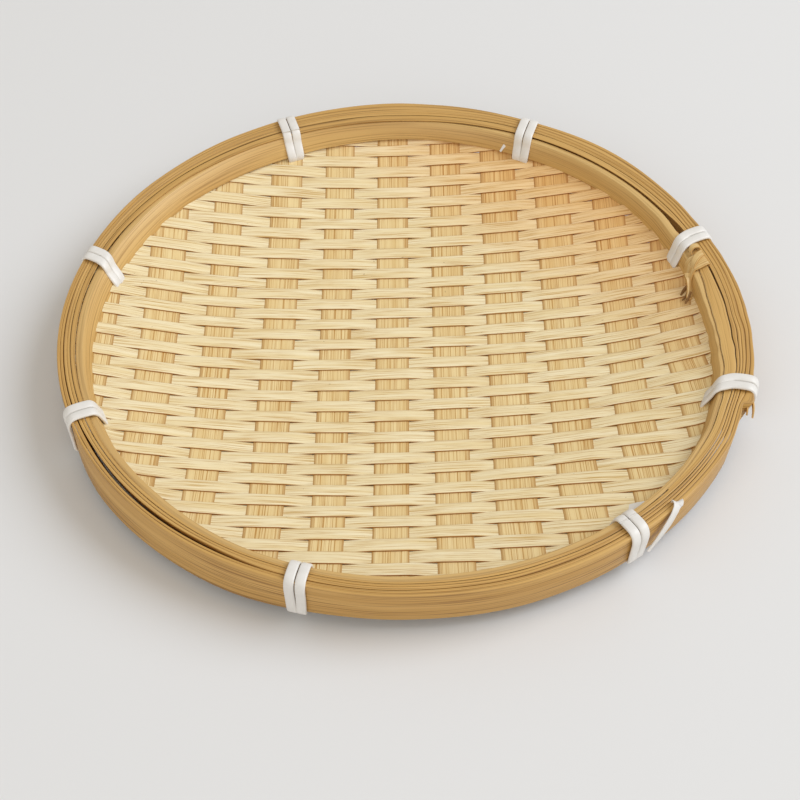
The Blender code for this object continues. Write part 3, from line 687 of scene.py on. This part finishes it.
lashing_finish = split_bamboo(
    "split_bamboo_lashing", ("#E6C98F", "#D2A862", "#B98A48", "#C89A55", "#6E4A26"),
    fibre=(12 * mm, 0.3 * mm), tone=(20 * mm, 1.5 * mm), roughness=0.5, relief=0.04 * mm,
    speck_share=0, see_through=0.03, rim_shade_share=0)
frayed_finish = split_bamboo(
    "split_bamboo_frayed", ("#A87B3C", "#8A5F2A", "#5E3D1A", "#8A5F2A", "#4A2E12"),
    fibre=(6 * mm, 0.2 * mm), tone=(8 * mm, 0.8 * mm), roughness=0.6, relief=0.04 * mm,
    speck_share=0, see_through=0.03, rim_shade_share=0)
lashing_pieces = [
    ("fold", [(13.4, 84.2, 1.6), (13.6, 84.5, -0.4), (13.2, 83, -0.6), (12.6, 80.0, 0.0), (11.8, 79.0, 1.6),
              (10.4, 78.4, 3.6)], (0, 1, 0), 5.2, 30, lashing_finish),
    ("curl", [(16.4, 83.9, 0.6), (16.6, 84.4, -0.9), (16.6, 82.6, -1.3), (16.0, 81.4, -0.7), (15.2, 81.6, 0.1)],
     (0, 1, 0), 1.7, 24, lashing_finish),
    ("second_fold", [(14.9, 84.1, 0.6), (14.9, 84.5, -0.5), (14.2, 82.6, -1.0), (12.6, 80.4, -0.5),
                     (10.8, 79.4, 1.0)], (0, 1, 0), 2.0, 30, lashing_finish),
    ("tail", [(11.4, 79.2, 1.2), (10.0, 78.9, 2.4), (7.6, 78.0, 3.6), (6.4, 77.2, 4.2)], (0, 1, 0.6), 3.2, 20,
     lashing_finish),
    ("fray_1", [(7.6, 77.9, 3.1), (6.4, 77.0, 3.8), (5.6, 75.9, 4.5)], (0, 1, 0.4), 0.7, 8, frayed_finish),
    ("fray_2", [(8.4, 77.6, 3.5), (7.2, 76.6, 4.2), (6.8, 75.4, 4.8)], (0, 1, 0.4), 0.6, 8, frayed_finish),
    ("fray_3", [(9.6, 78.0, 3.3), (9.2, 76.8, 4.1), (8.2, 75.6, 4.7)], (0, 1, 0.4), 0.8, 8, frayed_finish),
]
for name, points, across, width, stations, finish in lashing_pieces:
    strip = laid_strip(points, across, width * mm, LASHING_THICKNESS, EDGE_ROUNDING, 0.6, stations)
    piece = add_piece(f"lashing_{name}", strip, finish, "hoop_lashing")


# Floor, light and camera
# The tray lies on a pale seamless sheet under one broad soft lamp from the far right, with a weak
# even light round it. The camera looks down at it from the front.

FLOOR_SIZE = 12.0
LAMP_DISTANCE = 2.2
# Azimuth and elevation in degrees, disk size in metres, power in watts and colour of each lamp.
LAMPS = [("key", 8, 42, 1.7, 34, "#F0F6FF"), ("front_reflector", 252, 34, 2.2, 12.5, "#FFFFFF")]
WORLD_STRENGTH = 0.5
WORLD_COLOUR = "#FFF8EC"
BACKDROP_COLOUR = "#E4E4E4"
CAMERA_LENS = 78.83
CAMERA_ELEVATION = math.radians(46.79)
CAMERA_ROLL = math.radians(-1.34)
CAMERA_PLACE = Vector((-0.60, -327.7, 331.7)) * mm

sheet = bmesh.new()
bmesh.ops.create_grid(sheet, x_segments=2, y_segments=2, size=FLOOR_SIZE / 2)
floor_mesh = bpy.data.meshes.new("floor")
sheet.to_mesh(floor_mesh)
sheet.free()
floor = bpy.data.objects.new("floor", floor_mesh)
bpy.context.scene.collection.objects.link(floor)
floor_finish = bpy.data.materials.new("matt_white_card")
floor_finish.use_nodes = True
floor_shader = floor_finish.node_tree.nodes["Principled BSDF"]
floor_shader.inputs["Base Color"].default_value = linear("#E4E4E4")
floor_shader.inputs["Roughness"].default_value = 0.9
floor_mesh.materials.append(floor_finish)

for name, azimuth, elevation, size, power, colour in LAMPS:
    lamp = bpy.data.lights.new(name, "AREA")
    lamp.shape = "DISK"
    lamp.size = size
    lamp.energy = power
    lamp.color = linear(colour)[:3]
    lamp_object = bpy.data.objects.new(name, lamp)
    bpy.context.scene.collection.objects.link(lamp_object)
    turned = Matrix.Rotation(math.radians(azimuth), 3, "Z") @ Matrix.Rotation(-math.radians(elevation), 3, "Y")
    lamp_object.location = turned @ Vector((LAMP_DISTANCE, 0, 0))
    lamp_object.rotation_euler = lamp_object.location.to_track_quat("Z", "Y").to_euler()

world = bpy.data.worlds.new("soft_room")
world.use_nodes = True
background = world.node_tree.nodes["Background"]
background.inputs["Color"].default_value = linear(WORLD_COLOUR)
background.inputs["Strength"].default_value = WORLD_STRENGTH
backdrop = add_node(world, "ShaderNodeBackground", {}, {"Color": linear(BACKDROP_COLOUR)})
seen = add_node(world, "ShaderNodeLightPath", {}, {}).outputs["Is Camera Ray"]
room = add_node(world, "ShaderNodeMixShader", {}, {
    0: seen, 1: background.outputs["Background"], 2: backdrop.outputs["Background"]})
world.node_tree.links.new(room.outputs["Shader"], world.node_tree.nodes["World Output"].inputs["Surface"])
bpy.context.scene.world = world

camera_data = bpy.data.cameras.new("camera")
camera_data.lens = CAMERA_LENS
camera = bpy.data.objects.new("camera", camera_data)
bpy.context.scene.collection.objects.link(camera)
camera.location = CAMERA_PLACE
tilt = Matrix.Rotation(math.pi / 2 - CAMERA_ELEVATION, 3, "X") @ Matrix.Rotation(CAMERA_ROLL, 3, "Z")
camera.rotation_euler = tilt.to_euler()
bpy.context.scene.camera = camera
bpy.context.scene.view_settings.view_transform = "Standard"
